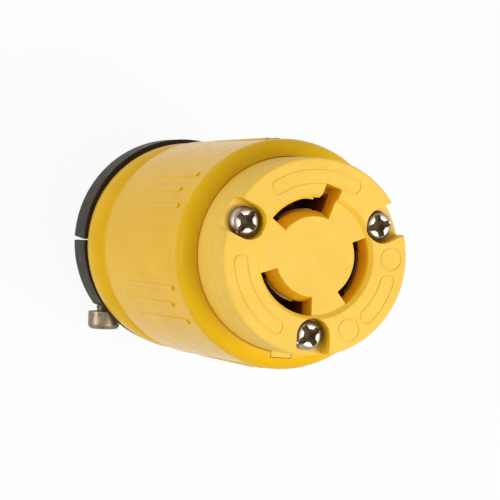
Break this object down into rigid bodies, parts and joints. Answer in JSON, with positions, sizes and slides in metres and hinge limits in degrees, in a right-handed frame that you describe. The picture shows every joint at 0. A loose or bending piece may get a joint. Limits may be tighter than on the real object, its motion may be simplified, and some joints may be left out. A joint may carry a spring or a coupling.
{
  "type": "locking cord connector",
  "caption": "Round female locking cord connector with curved blade slots, a ribbed sleeve, inner contacts and terminals, and a split cord clamp.",
  "frame": {"origin": "on the connector's axis, in the flat rear face of the cord clamp on which it stands", "axes": "+Z along the axis towards the mating face, +Y towards the side of the ground slot and the upper clamp half, +X along the slit between the clamp halves"},
  "size_m": [0.0438, 0.0448, 0.08],
  "materials": {
    "sleeve_yellow": "fine satin moulded nylon",
    "face_yellow": "smooth satin moulded nylon",
    "clamp_black": "dark moulded nylon, lightly grained",
    "carrier_brown": "dull moulded thermoset",
    "contact_brass": "rolled brass strip",
    "spring_steel": "thin rolled spring strip",
    "screw_nickel": "bright nickel plating",
    "screw_steel": "dull plated steel",
    "screw_green": "green dyed plating"
  },
  "bodies": {
    "connector": {"housing_sleeve": "sleeve_yellow", "front_face": "face_yellow", "contact_carrier": "carrier_brown", "contact_line_x": "contact_brass", "contact_line_y": "contact_brass", "contact_ground": "contact_brass", "contact_spring_line_x": "spring_steel", "contact_spring_line_y": "spring_steel", "contact_spring_ground": "spring_steel", "wire_clamp_line_x": "contact_brass", "wire_clamp_line_y": "contact_brass", "wire_clamp_ground": "contact_brass", "line_terminal_screws": "contact_brass", "ground_terminal_screw": "screw_green", "face_screws": "screw_nickel", "sleeve_inserts": "contact_brass", "clamp_half_upper": "clamp_black", "clamp_screws": "screw_steel", "clamp_nuts": "screw_steel"},
    "lower_jaw": {"clamp_half_lower": "clamp_black"}
  },
  "joints": [
    {"name": "lower_jaw_slide", "type": "slide", "parent": "connector", "child": "lower_jaw", "axis": [0, 1, 0], "range_m": [-0.0011, 0.0002]}
  ]
}
